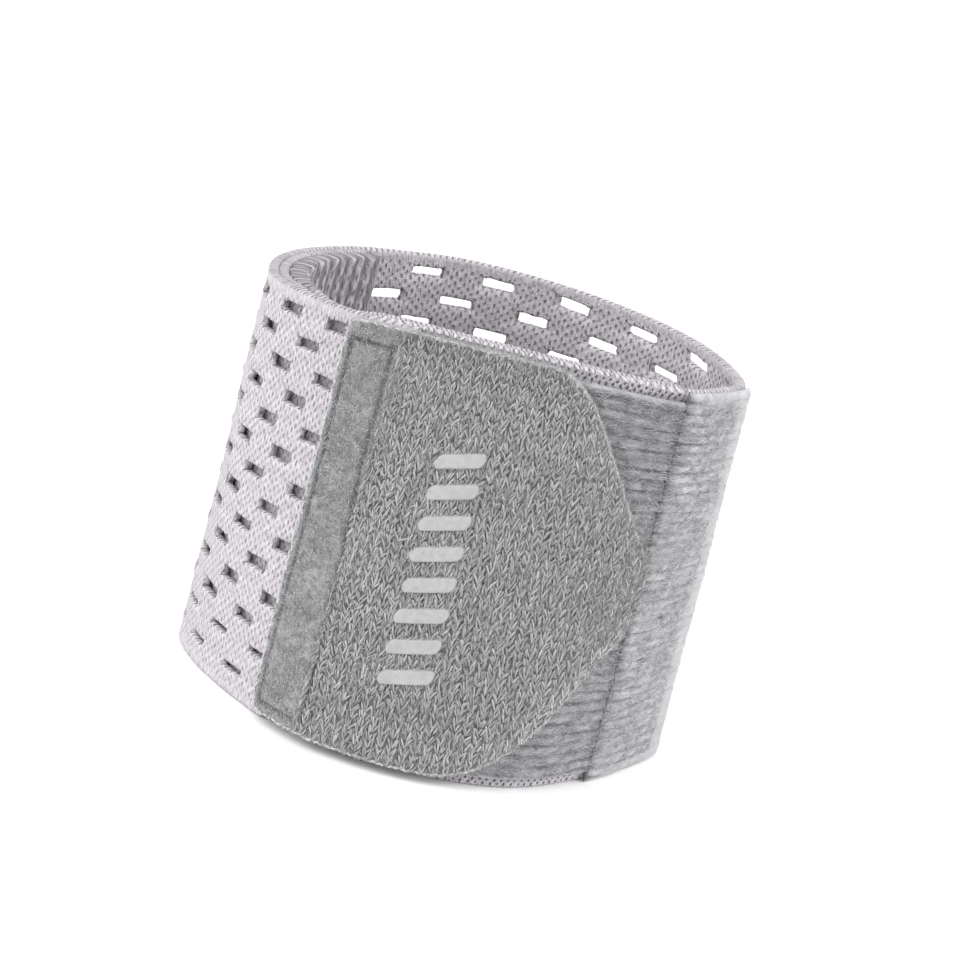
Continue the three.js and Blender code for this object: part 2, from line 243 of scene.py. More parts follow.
def new_object(name, points_mm, faces, maps, material, stands_for=None):
    """A mesh piece from points in millimetres. maps are its UV layers: name to one pair a point."""
    mesh = bpy.data.meshes.new(name)
    mesh.from_pydata((np.asarray(points_mm) * MM).tolist(), [], [list(map(int, f)) for f in faces])
    corners = np.zeros(len(mesh.loops), dtype=np.int32)
    mesh.loops.foreach_get("vertex_index", corners)
    for label, pairs in maps.items():
        layer = mesh.uv_layers.new(name=label)
        layer.data.foreach_set("uv", (np.asarray(pairs) / UV_UNIT).astype(np.float32)[corners].ravel())
    bm = bmesh.new()
    bm.from_mesh(mesh)
    bmesh.ops.recalc_face_normals(bm, faces=bm.faces[:])
    bm.to_mesh(mesh)
    bm.free()
    mesh.shade_smooth()
    mesh.materials.append(material)
    obj = bpy.data.objects.new(name, mesh)
    scene.collection.objects.link(obj)
    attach(obj, "root")
    if stands_for:
        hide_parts(stands_for)
    return obj


def set_inputs(node, values):
    for name, value in values.items():
        node.inputs[name].default_value = value


def new_node(tree, kind, values):
    """A shader node with its inputs set, or linked where the value comes from another node"""
    node = tree.nodes.new("ShaderNode" + kind)
    for name, value in values.items():
        if isinstance(value, Value):
            tree.links.new(value.socket, node.inputs[name])
        else:
            node.inputs[name].default_value = value
    return node


def maths(operation):
    """A method of Value that adds one maths node"""
    return lambda value, *others: value.apply(operation, *others)


class Value:
    """A number in a node tree, combined by maths nodes"""

    __add__ = maths("ADD")
    __sub__ = maths("SUBTRACT")
    __mul__ = maths("MULTIPLY")
    __truediv__ = maths("DIVIDE")
    abs = maths("ABSOLUTE")
    floor = maths("FLOOR")
    fract = maths("FRACT")
    top = maths("MAXIMUM")

    def __init__(self, tree, socket):
        self.tree = tree
        self.socket = socket

    def apply(self, operation, *others):
        node = new_node(self.tree, "Math", dict(enumerate((self, *others))))
        node.operation = operation
        return Value(self.tree, node.outputs[0])

    def __rsub__(self, other):
        return (self * -1.0) + other

    def ramp(self, start, end):
        """Rises smoothly from 0 to 1 between two values"""
        node = new_node(self.tree, "MapRange", {"Value": self, "From Min": start, "From Max": end})
        node.interpolation_type = "SMOOTHSTEP"
        return Value(self.tree, node.outputs["Result"])


class Cloth:
    """A material whose colour and bump are worked out from the cloth's own places"""

    def __init__(self, name, roughness, sheen):
        self.material = bpy.data.materials.new(name)
        self.material.use_nodes = True
        self.tree = self.material.node_tree
        self.shader = self.tree.nodes["Principled BSDF"]
        set_inputs(self.shader, {"Roughness": roughness, "Specular IOR Level": 0.25})
        set_inputs(self.shader, {"Sheen Weight": sheen, "Sheen Roughness": 0.6})

    def places(self, layer="cloth"):
        """Millimetres along and up the cloth, from one UV layer"""
        source = self.tree.nodes.new("ShaderNodeUVMap")
        source.uv_map = layer
        parts = self.tree.nodes.new("ShaderNodeSeparateXYZ")
        self.tree.links.new(source.outputs["UV"], parts.inputs[0])
        return (
            Value(self.tree, parts.outputs["X"]) * UV_UNIT,
            Value(self.tree, parts.outputs["Y"]) * UV_UNIT,
        )

    def noise(self, x, y, scale, detail=2.0):
        """Smooth noise about 0.5, in the cloth's own places"""
        joined = new_node(self.tree, "CombineXYZ", {"X": x, "Y": y})
        place = Value(self.tree, joined.outputs[0])
        node = new_node(self.tree, "TexNoise", {"Vector": place, "Scale": scale, "Detail": detail})
        return Value(self.tree, node.outputs["Fac"])

    def colours(self, share, dark, light):
        node = new_node(self.tree, "Mix", {0: share})
        node.data_type = "RGBA"
        ends = [socket for socket in node.inputs if socket.type == "RGBA"]
        ends[0].default_value = (*dark, 1)
        ends[1].default_value = (*light, 1)
        output = [socket for socket in node.outputs if socket.type == "RGBA"][0]
        self.tree.links.new(output, self.shader.inputs["Base Color"])

    def bump(self, height, distance_mm):
        node = new_node(self.tree, "Bump", {"Height": height, "Distance": distance_mm * MM, "Strength": 1.0})
        self.tree.links.new(node.outputs["Normal"], self.shader.inputs["Normal"])


def elastic_material():
    """Knitted elastic: upright strands with staggered dark dimples, and pale looped rims, with painted light
    and shade that follow the relief
    """
    cloth = Cloth("elastic_knit", 0.88, 0.15)
    x, y = cloth.places()
    relief, side = cloth.places("relief")
    from_rim, _ = cloth.places("rim")
    coarse = cloth.noise(x, y, 0.35)
    fine = cloth.noise(x, y, 3.4, 3.0)
    strand = cloth.noise(x * 2.6, y * 0.7, 1.0, 2.0)
    warped = x + (coarse - 0.5) * 0.9 + (fine - 0.5) * 0.22
    column = (warped / WALE).floor()
    across = (warped / WALE).fract() - 0.5
    shift = (column * 0.5).fract()
    up = (y / COURSE + shift + (coarse - 0.5) * 0.8).fract() - 0.5
    tick = (across * across * -12.0 + 1.0).top(0.0) * (up * up * -13.0 + 1.0).top(0.0)
    field = from_rim.ramp(1.4, 2.2)
    tick = tick * field * (side * -0.1 + 0.55)
    on_rim = 1.0 - side.abs().ramp(0.85, 1.0)
    loop = ((x / RIM_LOOP * 2.0 + side * 0.35).fract() - 0.5).abs().ramp(0.02, 0.2)
    loop = (1.0 - loop) * on_rim
    strands = (strand - 0.5) * 1.5 + (fine - 0.5) * 0.5 + coarse * 0.2
    # Painted light and shade: paler where the relief stands up at the slot lips, darker in the valleys
    # between the doubled turn's ridges
    share = strands - tick * 0.9 - loop * 0.5 + relief * 0.8 + 0.62
    cloth.colours(share, (0.20, 0.182, 0.20), (0.665, 0.63, 0.672))
    cloth.bump(fine * 0.3 + strand * 1.1 - tick * 1.3 - loop * 0.8, 0.4)
    return cloth.material


def pile_material():
    """Brushed pile: fine wavy hair lying round the loop, paler at its edges, with painted light past the
    seam and towards the right end and painted shade in the rib valleys and the seam groove
    """
    cloth = Cloth("ribbed_pile", 0.95, 0.35)
    x, y = cloth.places()
    relief, edge = cloth.places("relief")
    wave = (cloth.noise(x, y, 0.45, 2.0) - 0.5) * 2.6
    hair = cloth.noise(x * 1.2 + wave, y * 4.4 + wave, 1.0, 3.0)
    short = cloth.noise(x * 3.0, y * 7.0 + wave, 1.0, 2.0)
    patch = cloth.noise(x, y, 0.16, 1.0)
    # Painted light: paler past the seam and towards the right end, where the right-hand light falls
    lit = x.ramp(SEAM - 0.6, SEAM + 0.8) * 0.24 + x.ramp(SEAM + 7, SEAM + END_PANEL_LENGTH) * 0.16
    pale = (1.0 - edge.ramp(0.1, 1.3)) * 0.25
    contrast = 1.0 - x.ramp(SEAM + 2, SEAM + 18) * 0.5
    # Painted shade and light: the relief darkens the colour in the rib valleys and the seam groove and
    # lightens the ribs
    uneven = ((hair - 0.5) * 0.75 + (short - 0.5) * 1.1 + relief * 1.6) * contrast
    share = uneven + patch * 0.15 + lit + pale + 0.25
    cloth.colours(share, (0.14, 0.14, 0.147), (0.58, 0.58, 0.602))
    cloth.bump(hair * 0.9 + short * 0.5, 0.42)
    return cloth.material


def tab_material():
    """The ground of the fuzzy knit: painted shade between the stitches and in the box-stitch groove, paler
    at the root and the cut edge
    """
    cloth = Cloth("tab_knit", 0.95, 0.3)
    x, y = cloth.places()
    relief, edge = cloth.places("relief")
    fuzz = cloth.noise(x, y, 2.6, 4.0)
    hair = cloth.noise(x * 2.4 + y * 0.5, y * 0.9, 1.3, 3.0)
    root = (1.0 - x.ramp(PLAIN_BEFORE - 0.5, PLAIN_BEFORE + 0.8)) * 0.26
    pale = (1.0 - edge.ramp(0.1, 1.2)) * 0.45
    grain = cloth.noise(x * 1.4, y, 4.5, 2.0)
    uneven = (fuzz - 0.5) * 0.9 + (hair - 0.5) * 0.5 + (grain - 0.5) * 1.5
    # Painted shade: the relief darkens the colour between the stitch columns and in the box-stitch groove
    share = relief * 1.3 + uneven + root + pale + 0.3
    cloth.colours(share, (0.10, 0.10, 0.104), (0.46, 0.46, 0.47))
    cloth.bump(fuzz * 0.6 + hair * 0.3 + grain * 0.7, 0.4)
    return cloth.material


def strand_material(name, dark, light):
    """Yarn and hairs: each strand has its own shade, with fine streaks along it"""
    cloth = Cloth(name, 0.92, 0.25)
    x, y = cloth.places()
    shade, _ = cloth.places("relief")
    streak = cloth.noise(x * 6.0, y * 1.1, 1.0, 2.0)
    share = shade + (streak - 0.5) * 1.1
    cloth.colours(share, dark, light)
    cloth.bump(streak, 0.12)
    return cloth.material


def plain_material(name, dark, light, roughness, scale_mm):
    """A plain finish with slight mottling and grain, in object space"""
    cloth = Cloth(name, roughness, 0.1)
    source = new_node(cloth.tree, "TexCoord", {})
    place = Value(cloth.tree, source.outputs["Object"])
    node = new_node(cloth.tree, "TexNoise", {"Vector": place, "Scale": 1 / (scale_mm * MM), "Detail": 3.0})
    share = Value(cloth.tree, node.outputs["Fac"])
    cloth.colours(share.ramp(0.3, 0.7), dark, light)
    cloth.bump(share, scale_mm * 0.25)
    return cloth.material


def roundness(distance, radius):
    """Share of the full half thickness at a distance from an edge rounded with a radius"""
    inside = np.clip(distance / radius, 0, 1)
    return np.sqrt(1 - (1 - inside) ** 2)


def relief_sheet(along, height, edge, seat, thickness, relief, radius):
    """Points and faces of a closed sheet on a grid, its outer face in relief and its edges rounded"""
    columns, rows = along.shape
    share = roundness(edge, radius)
    middle = seat + thickness / 2
    outer = wall(along, height, middle + (thickness / 2 + relief) * share)
    inner = wall(along, height, middle - thickness / 2 * share)
    number = np.arange(columns * rows).reshape(columns, rows)
    border = np.zeros((columns, rows), bool)
    border[[0, -1], :] = True
    border[:, [0, -1]] = True
    back = np.where(border, number, number + columns * rows)
    faces = np.concatenate([quads_of(number), quads_of(back[:, ::-1])])
    points = np.concatenate([outer.reshape(-1, 3), inner.reshape(-1, 3)])
    pairs = np.stack([along, height], -1).reshape(-1, 2)
    depths = np.stack([relief, edge], -1).reshape(-1, 2)
    used = np.unique(faces)
    renumber = np.zeros(len(points), int)
    renumber[used] = np.arange(len(used))
    layers = {"cloth": pairs, "relief": depths}
    maps = {name: np.concatenate([layer, layer])[used] for name, layer in layers.items()}
    return points[used], renumber[faces], maps


def wrap_out(along):
    return (ELASTIC + CLEARANCE) * smooth(FOLD_PLACE - WRAP_STEP_LENGTH, FOLD_PLACE, along)


def slot_pitch(along):
    share = smooth(FOLD_PLACE - FOLD_EASE, FOLD_PLACE + FOLD_EASE, along)
    return mix(SLOT_PITCH_STRETCHED, SLOT_PITCH_RELAXED, share)


# One cell of the elastic, a slot pitch wide and a row high: its border, and rings in towards its slot
CELL_ACROSS = 18
CELL_UP = 4
SLOT_CORNER_POWER = 0.22
CELL_RINGS = [0.0, 0.13, 0.42, 1.0]
SLOT_LIP = 0.36
SLOT_EDGE_LIP = 0.22
SLOT_MIDDLE_LIP = 0.2
SLOT_EDGE_SIDE = 0.55
SLOT_MIDDLE_SIZE = 0.96

# Seeded differences between the slots: ranges of their size, and spreads of their raggedness in
# millimetres, their tilt and their place
SLOT_LENGTH_RANGE = (0.9, 1.06)
SLOT_HEIGHT_RANGE = (0.85, 1.12)
RAGGED_ALONG = 0.12
RAGGED_UP = 0.07
SLOT_TILT = 0.03
SLOT_SHIFT_ALONG = 0.012
SLOT_SHIFT_UP = 0.02


def cell_border():
    """Points round the cell from its lower left corner, in shares of its width and height"""
    across = np.linspace(-0.5, 0.5, CELL_ACROSS + 1)
    up = np.linspace(-0.5, 0.5, CELL_UP + 1)
    low = [(a, -0.5) for a in across[:-1]]
    right = [(0.5, b) for b in up[:-1]]
    high = [(a, 0.5) for a in across[::-1][:-1]]
    left = [(-0.5, b) for b in up[::-1][:-1]]
    return np.array(low + right + high + left)


def slot_edge(border, half_length, half_height):
    """Points of a rounded slot that face the points of the cell's border"""
    angle = np.arctan2(border[:, 1], border[:, 0])
    way = np.stack([np.cos(angle), np.sin(angle)], -1)
    return np.sign(way) * np.abs(way) ** SLOT_CORNER_POWER * [half_length, half_height]


def edge_points(points, column, value):
    """Numbers of the outer and the inner points on one edge of a sheet, in order along it"""
    lines = []
    for side in (1.0, -1.0):
        on_edge = (np.abs(points[:, column] - value) < 1e-3) & (points[:, 2] == side)
        found = np.where(on_edge)[0]
        lines.append(found[np.argsort(points[found, 1 - column])])
    return lines


# Points of one sheet are welded where they agree to these steps a pitch, a millimetre and a side
WELD_STEPS = [4800, 1000, 10]


class Weave:
    """Gathers the cells of one elastic sheet as points (u, height, side, lift) and faces"""

    def __init__(self):
        self.points = []
        self.faces = []
        self.count = 0

    def add(self, points, faces):
        self.points.append(points)
        self.faces.append(np.asarray(faces) + self.count)
        self.count += len(points)

    def plain(self, u0, u1, z0, z1, across, up):
        us, zs = grid(u0, u1, across, z0, z1, up)
        number = np.arange(us.size).reshape(us.shape)
        for side in (1.0, -1.0):
            points = np.stack([us, zs, np.full(us.shape, side), np.zeros(us.shape)], -1).reshape(-1, 4)
            self.add(points, quads_of(number))

    def slotted(self, u, z, pitch, half_height, seed):
        rng = np.random.default_rng(seed)
        border = cell_border()
        half_length = SLOT_LENGTH_SHARE / 2 * rng.uniform(*SLOT_LENGTH_RANGE)
        opening = half_height / SLOT_ROW_PITCH
        slot = slot_edge(border, half_length, opening * rng.uniform(*SLOT_HEIGHT_RANGE))
        ragged = rng.normal(0, 1, (len(border), 2)) * [RAGGED_ALONG / pitch, RAGGED_UP / SLOT_ROW_PITCH]
        tilt = rng.normal(0, SLOT_TILT)
        shift = [rng.normal(0, SLOT_SHIFT_ALONG), rng.normal(0, SLOT_SHIFT_UP)]
        slot = slot + ragged * min(1.0, half_height) + shift
        slot[:, 1] += slot[:, 0] * tilt * pitch / SLOT_ROW_PITCH
        count = len(border)
        rings = []
        lower = np.clip(-slot[:, 1] / opening, 0, 1)
        for side in (1.0, -1.0):
            rings.append((slot, SLOT_EDGE_SIDE * side, SLOT_EDGE_LIP * lower))
            for share in CELL_RINGS[1:]:
                lift = SLOT_LIP * lower * (1 - share) ** 2
                rings.append((mix(slot, border, share), side, lift))
        rings.append((slot * SLOT_MIDDLE_SIZE, 0.0, SLOT_MIDDLE_LIP * lower))
        points = []
        for place, side, lift in rings:
            us = u + place[:, 0]
            zs = z + place[:, 1] * SLOT_ROW_PITCH
            points.append(np.stack([us, zs, np.full(count, side), lift], -1))
        per_side = len(CELL_RINGS)
        bands = [(k, k + 1) for k in range(per_side - 1)]
        bands += [(k + per_side, k + 1 + per_side) for k in range(per_side - 1)]
        bands += [(0, 2 * per_side), (2 * per_side, per_side)]
        step = np.arange(count)
        after = (step + 1) % count
        faces = [
            np.stack([a * count + step, a * count + after, b * count + after, b * count + step], -1)
            for a, b in bands
        ]
        self.add(np.concatenate(points), np.concatenate(faces))

    def finished(self):
        """Welded points and faces, with rounded rims and closed ends"""
        points = np.concatenate(self.points)
        faces = np.concatenate(self.faces)
        key = np.round(points[:, :3] * WELD_STEPS).astype(np.int64)
        _, first, inverse = np.unique(key, axis=0, return_index=True, return_inverse=True)
        points = points[first]
        faces = inverse.reshape(-1)[faces].tolist()
        extra = []
        total = len(points)
        for z, way in ((points[:, 1].min(), -1), (points[:, 1].max(), 1)):
            outer, inner = edge_points(points, 1, z)
            rows = [outer]
            for side in (0.72, 0.0, -0.72):
                place = points[outer].copy()
                place[:, 1] += way * RIM_ROUND * math.sqrt(1 - side * side)
                place[:, 2] = side
                extra.append(place)
                rows.append(np.arange(total, total + len(place)))
                total += len(place)
            rows.append(inner)
            for pair in zip(rows[:-1], rows[1:]):
                faces += quads_of(np.stack(pair, 1)).tolist()
            faces.append([row[0] for row in rows])
            faces.append([row[-1] for row in rows])
        for u in (points[:, 0].min(), points[:, 0].max()):
            faces += quads_of(np.stack(edge_points(points, 0, u), 1)).tolist()
        return np.concatenate([points, *extra]), faces


def woven(u_end, is_slot, pitch_at, seed):
    """Cells of a whole band, from u = 0 to u_end, a whole number of pitches"""
    weave = Weave()
    top_z = BAND_HEIGHT - SLOT_RIM_MARGIN + SLOT_ROW_PITCH / 2
    low_z = top_z - SLOT_ROWS * SLOT_ROW_PITCH
    for k in range(2 * u_end):
        for z0, z1, up in ((RIM_ROUND, low_z, 2), (top_z, BAND_HEIGHT - RIM_ROUND, 1)):
            weave.plain(k / 2, (k + 1) / 2, z0, z1, CELL_ACROSS // 2, up)
    for row in range(SLOT_ROWS):
        z = BAND_HEIGHT - SLOT_RIM_MARGIN - row * SLOT_ROW_PITCH
        z0, z1 = z - SLOT_ROW_PITCH / 2, z + SLOT_ROW_PITCH / 2
        half = row % 2 == 0
        if half:
            weave.plain(0, 0.5, z0, z1, CELL_ACROSS // 2, CELL_UP)
            weave.plain(u_end - 0.5, u_end, z0, z1, CELL_ACROSS // 2, CELL_UP)
        for k in range(u_end - (1 if half else 0)):
            start = k + (0.5 if half else 0.0)
            middle = start + 0.5
            if is_slot(middle, row):
                weave.slotted(middle, z, pitch_at(middle), opening_at(row), seed + 100 * row + k)
            else:
                weave.plain(start, start + 1, z0, z1, CELL_ACROSS, CELL_UP)
    return weave.finished()


def opening_at(row):
    """Half height of a row's slots. The lowest rows are pinched almost shut."""
    return SLOT_HEIGHT / 2 * (1 if row < SLOT_ROWS - PINCHED_ROWS else PINCHED_SHARE)


def wrap_band_piece(material):
    start = SEAM + SEAM_GAP / 2
    end = LOOP_LENGTH + TAB_EDGE + TAB_ROOT
    plain_pitches = 2
    places = [start, start + SLOT_FREE_END]
    us = [0.0, plain_pitches]
    while places[-1] < end:
        places.append(places[-1] + slot_pitch(places[-1]) / 2)
        us.append(us[-1] + 0.5)
    whole = math.floor(np.interp(end, places, us))
    table_u = [u for u in us if u < whole] + [float(whole)]
    table_s = places[: len(table_u) - 1] + [end]
    tab_edge = LOOP_LENGTH + TAB_EDGE

    def along_at(u):
        return np.interp(u, table_u, table_s)

    def is_slot(u, row):
        return plain_pitches <= u and along_at(u) < tab_edge - SLOT_SHOWN_MARGIN

    points, faces = woven(whole, is_slot, lambda u: slot_pitch(along_at(u)), seed=11)
    along = along_at(points[:, 0])
    tuck = WRAP_TUCK * smooth(tab_edge, tab_edge + TAB_ROOT / 3, along)
    height = tuck + points[:, 1] * (BAND_HEIGHT - tuck) / BAND_HEIGHT
    lift = points[:, 3] + 0.05 * speckle(along, height, 3.1)
    half = ELASTIC / 2 + rim_knit(points[:, 0] * SLOT_PITCH_RELAXED, points[:, 1])
    place = wall(along, height, wrap_out(along) - ELASTIC / 2 + points[:, 2] * half + lift)
    maps = elastic_maps(points, height, (points[:, 0] * SLOT_PITCH_RELAXED, height), points[:, 3])
    obj = new_object("wrap_elastic", place, faces, maps, material, "wrap_band")


def elastic_maps(points, height, places, relief):
    """UV layers: places on the cloth, relief and side, and the distance from the rim. The relief only paints
    light and shade into the colour.
    """
    from_rim = np.minimum(points[:, 1], BAND_HEIGHT - points[:, 1])
    layers = {"cloth": places, "relief": (relief, points[:, 2]), "rim": (from_rim, height)}
    return {name: np.stack(pair, -1) for name, pair in layers.items()}


def rim_knit(run, height):
    """The rims are a little fuller, and bound with small loops"""
    from_rim = np.minimum(height, BAND_HEIGHT - height)
    return (1 - smooth(0.2, 2.6, from_rim)) * (0.17 + 0.08 * np.sin(2 * np.pi * run / RIM_LOOP))


def folded_path(s):
    """Middle of the doubled turn at a distance along its cloth: along, out, and which way its face looks"""
    run = FOLD_RUN
    radius = (ELASTIC + FOLD_GAP_BEND) / 2
    turn = math.pi * radius
    outer_run = s < run
    inner_run = s > run + turn
    angle = np.clip((s - run) / radius, 0, math.pi)
    outer_along = SEAM - SEAM_GAP / 2 - s
    inner_along = FOLD_END + (s - run - turn)
    gap = mix(FOLD_GAP_BEND, FOLD_GAP_FRONT, smooth(TAB_EDGE - FOLD_EASE, TAB_EDGE, inner_along))
    middle = -ELASTIC - FOLD_GAP_BEND / 2
    bend_along = FOLD_END - radius * np.sin(angle)
    bend_out = middle + radius * np.cos(angle)
    along = np.where(outer_run, outer_along, np.where(inner_run, inner_along, bend_along))
    out = np.where(outer_run, -ELASTIC / 2, np.where(inner_run, -1.5 * ELASTIC - gap, bend_out))
    face_along = np.where(outer_run | inner_run, 0.0, -np.sin(angle))
    face_out = np.where(outer_run, 1.0, np.where(inner_run, -1.0, np.cos(angle)))
    return along, out, face_along, face_out


# The doubled turn is slack inside the left bend, where its knit stands in thick ridges
RIDGED_LENGTH = 55.0
RIDGE_PITCH = 2.9
RIDGE_LOOP = 2.4
RIDGE_HEIGHT = 1.15
SLACK_STRETCH = 0.45
RIDGE_OUTWARD = 0.65
RIDGE_INWARD = -0.25
RIDGE_SET_BACK = 0.85
FOLD_DIP = 1.3
FOLD_DIP_REACH = 12.0


def folded_band_piece(material):
    run = FOLD_RUN
    length = 2 * run + math.pi * (ELASTIC + FOLD_GAP_BEND) / 2
    pitches = round(length / SLOT_PITCH_RELAXED)
    pitch = length / pitches

    def is_slot(u, row):
        inside = run + RIDGED_LENGTH < u * pitch < length - SLOT_FREE_END
        return inside and row < SLOT_ROWS - PINCHED_ROWS

    points, faces = woven(pitches, is_slot, lambda u: pitch, seed=907)
    s = points[:, 0] * pitch
    along, out, face_along, face_out = folded_path(s)
    dip = FOLD_DIP * (1 - smooth(0, FOLD_DIP_REACH, np.abs(along - (TAB_EDGE - 6))))
    height = points[:, 1] * (BAND_HEIGHT - dip) / BAND_HEIGHT
    inner = smooth(run - 1, run + 5, s) * (1 - smooth(run + RIDGED_LENGTH - 8, run + RIDGED_LENGTH, s))
    bead = np.cos(2 * np.pi * (height / RIDGE_LOOP + 0.5 * np.floor(s / RIDGE_PITCH)))
    ridge = np.abs(np.sin(np.pi * s / RIDGE_PITCH)) * (0.72 + 0.28 * bead)
    chunky = RIDGE_HEIGHT * inner * ridge
    offset = points[:, 2] * ELASTIC / 2 + 0.5 * points[:, 3]
    offset = offset + chunky * np.where(points[:, 2] > 0, RIDGE_OUTWARD, RIDGE_INWARD)
    offset = offset - RIDGE_SET_BACK * inner * (points[:, 2] < 0)
    offset = offset + rim_knit(s, points[:, 1]) * points[:, 2]
    place = wall(along + face_along * offset, height, out + face_out * offset)
    slack = SLACK_STRETCH * (smooth(run, run + 6, s) * 3 + np.clip(s - run - 6, 0, RIDGED_LENGTH - 8))
    places = (s - slack, height * mix(1.0, 0.62, inner))
    # The relief layer carries painted shade: the valleys between the ridges are darkened in the colour
    maps = elastic_maps(points, height, places, points[:, 3] + inner * (ridge - 0.85) * 1.5)
    obj = new_object("folded_elastic", place, faces, maps, material, "folded_band")


# Pile panels
PANEL_GRID = 0.43
PANEL_CORNER = 3.2
PANEL_OVERLAP = 0.01
SEAM_STITCH_PITCH = 2.7
SEAM_GROOVE = 0.3
SEAM_GROOVE_WIDTH = 1.1
VALLEY_WIDTH = 0.13
VALLEY_DEPTH = 0.3


def pile_relief(along, height, seed):
    """Fuzzy ribs that run round the loop and wander a little up and down"""
    drift = 0.12 * np.sin(along / 3.4 + seed) + 0.4 * speckle(along / 1.8, height, 4.5, seed)
    phase = (height + drift) / RIB
    rib = 1 - bell(phase % 1.0, 0.5, VALLEY_WIDTH)
    depth = VALLEY_DEPTH * np.clip(1 + 1.0 * speckle(along / 2.4, height, 1.7, seed + 3), 0, 1.8)
    depth = depth * (1 - 0.35 * smooth(SEAM + 2, SEAM + 18, along))
    rough = 0.13 * speckle(along / 1.8, height, 0.7, seed + 1) + 0.05 * speckle(along, height, 1.9, seed + 2)
    return depth * (rib - 0.8) + rough


def seam_pucker(along, height):
    """How far the panels are drawn in beside the seam"""
    near = bell(along, SEAM, SEAM_GROOVE_WIDTH)
    return -SEAM_GROOVE * near * (1 + 0.5 * np.sin(2 * np.pi * height / SEAM_STITCH_PITCH))


def panel_piece(name, start, end, low, high, seed, material, stands_for):
    across = round((end - start) / PANEL_GRID)
    up = round((high - low) / PANEL_GRID)
    along, height = grid(start, end, across, low, high, up)
    end_panel = end > SEAM + 1
    left = along - start + (LOOP_LENGTH if end_panel else 0)
    right = end - along + (0 if end_panel else LOOP_LENGTH)
    corner = corner_cut(right, PANEL_CORNER)
    height = low + corner + (height - low) * (high - low - 2 * corner) / (high - low)
    edge = np.minimum(np.minimum(left, right), np.minimum(height - low, high - height) - corner)
    relief = pile_relief(along, height, seed) + seam_pucker(along, height)
    taper = 0.55 + 0.45 * smooth(0, 3.5, end - along) if end_panel else 1.0
    points, faces, maps = relief_sheet(along, height, edge, CLEARANCE, PILE * taper, relief * taper, 0.9)
    obj = new_object(name, points, faces, maps, material, stands_for)


# The pull tab
def rounded_least(a, b, round_length):
    overlap = np.maximum(0, round_length - np.abs(a - b))
    return np.minimum(a, b) - overlap**2 / (4 * round_length)


def tab_reach(run, slant, reach, round_length):
    past = run - (TAB_LENGTH - TAB_TIP_RADIUS)
    arc_start = TAB_TIP_RADIUS * math.sin(slant)
    on_slant = (TAB_TIP_RADIUS - past * math.sin(slant)) / math.cos(slant)
    on_arc = np.sqrt(np.maximum(0, TAB_TIP_RADIUS**2 - past**2))
    side = rounded_least(np.where(past > arc_start, on_arc, on_slant), reach, round_length)
    return side - corner_cut(run, TAB_CORNER)


def tab_edges(run):
    upper = tab_reach(run, TAB_UPPER_SLANT, BAND_HEIGHT - TAB_TOP_INSET - TAB_TIP_HEIGHT, TAB_UPPER_ROUND)
    lower = tab_reach(run, TAB_LOWER_SLANT, TAB_TIP_HEIGHT - TAB_BOTTOM_INSET, TAB_LOWER_ROUND)
    return TAB_TIP_HEIGHT + upper, TAB_TIP_HEIGHT - lower


ROOT_SEAT = ELASTIC + 2 * CLEARANCE
PILE_SEAT = PILE + 2 * CLEARANCE
HOOK_SEAT = PILE_SEAT + HOOK + CLEARANCE


def tab_seat(run, height):
    upper, lower = tab_edges(run)
    from_edge = np.minimum(np.minimum(upper - height, height - lower), TAB_LENGTH - run)
    lift = smooth(0, TAB_SEAT, from_edge) * smooth(TAB_ROOT, TAB_ROOT + TAB_SEAT, run)
    flat = mix(ROOT_SEAT, PILE_SEAT, smooth(TAB_ROOT, TAB_ROOT + TAB_SEAT, run))
    return mix(flat, HOOK_SEAT, lift)


# Box stitch at the tab's root: its right-hand line leans a little with height
BOX_LEFT = 1.3
BOX_LOW = 3.9
BOX_HIGH = 71.0
BOX_GROOVE = 0.4
BOX_RIGHT_HEIGHTS = [3.0, 25.0, 50.0, 72.0]
BOX_RIGHT_RUNS = [10.7, 10.1, 8.3, 8.2]
PLAIN_BEFORE = TAB_EDGE + 9.0
STITCH_PITCH = 2.5
STITCH_LENGTH = 1.35
STITCHES_SHOWN = 0.8


def box_right(height):
    return np.interp(height, BOX_RIGHT_HEIGHTS, BOX_RIGHT_RUNS)


def stitch_groove(run, height):
    """How far the box stitch draws the tab in"""
    inside = (height > BOX_LOW - 0.3) & (height < BOX_HIGH + 0.3)
    across = (run > BOX_LEFT - 0.3) & (run < box_right(height) + 0.3)
    sides = bell(run, box_right(height), 0.5) + bell(run, BOX_LEFT, 0.45)
    rows = bell(height, BOX_LOW, 0.5) + bell(height, BOX_HIGH, 0.5)
    return -BOX_GROOVE * np.minimum(1, sides * inside + rows * across)


def tab_relief(run, height):
    """V stitches in columns, smoother at the stitched root"""
    along = run + TAB_EDGE
    across = np.abs((along + 0.3 * speckle(run, height, 2.6, 6)) / KNIT_COLUMN % 1.0 - 0.5)
    leg = (height / KNIT_ROW - 1.3 * across + 0.45 * speckle(along, height, 1.5, 5)) % 1.0 - 0.5
    stitch = 1 - 4 * leg**2
    plain = smooth(PLAIN_BEFORE - 0.5, PLAIN_BEFORE + 0.8, along)
    knit = (0.08 * stitch - 0.12 * smooth(0.36, 0.5, across) - 0.16) * plain
    rough = 0.16 * speckle(along, height, 0.8, 7) + 0.14 * speckle(along, height, 2.3, 8)
    rough = rough * mix(0.6, 0.45, plain)
    return knit + rough + stitch_groove(run, height)


TAB_GRID = 0.42
TAB_EDGE_ROUND = 0.8
TIP_GRID_START = 8.0
TIP_GRID_END = math.radians(87.5)
TIP_COLUMNS = 33


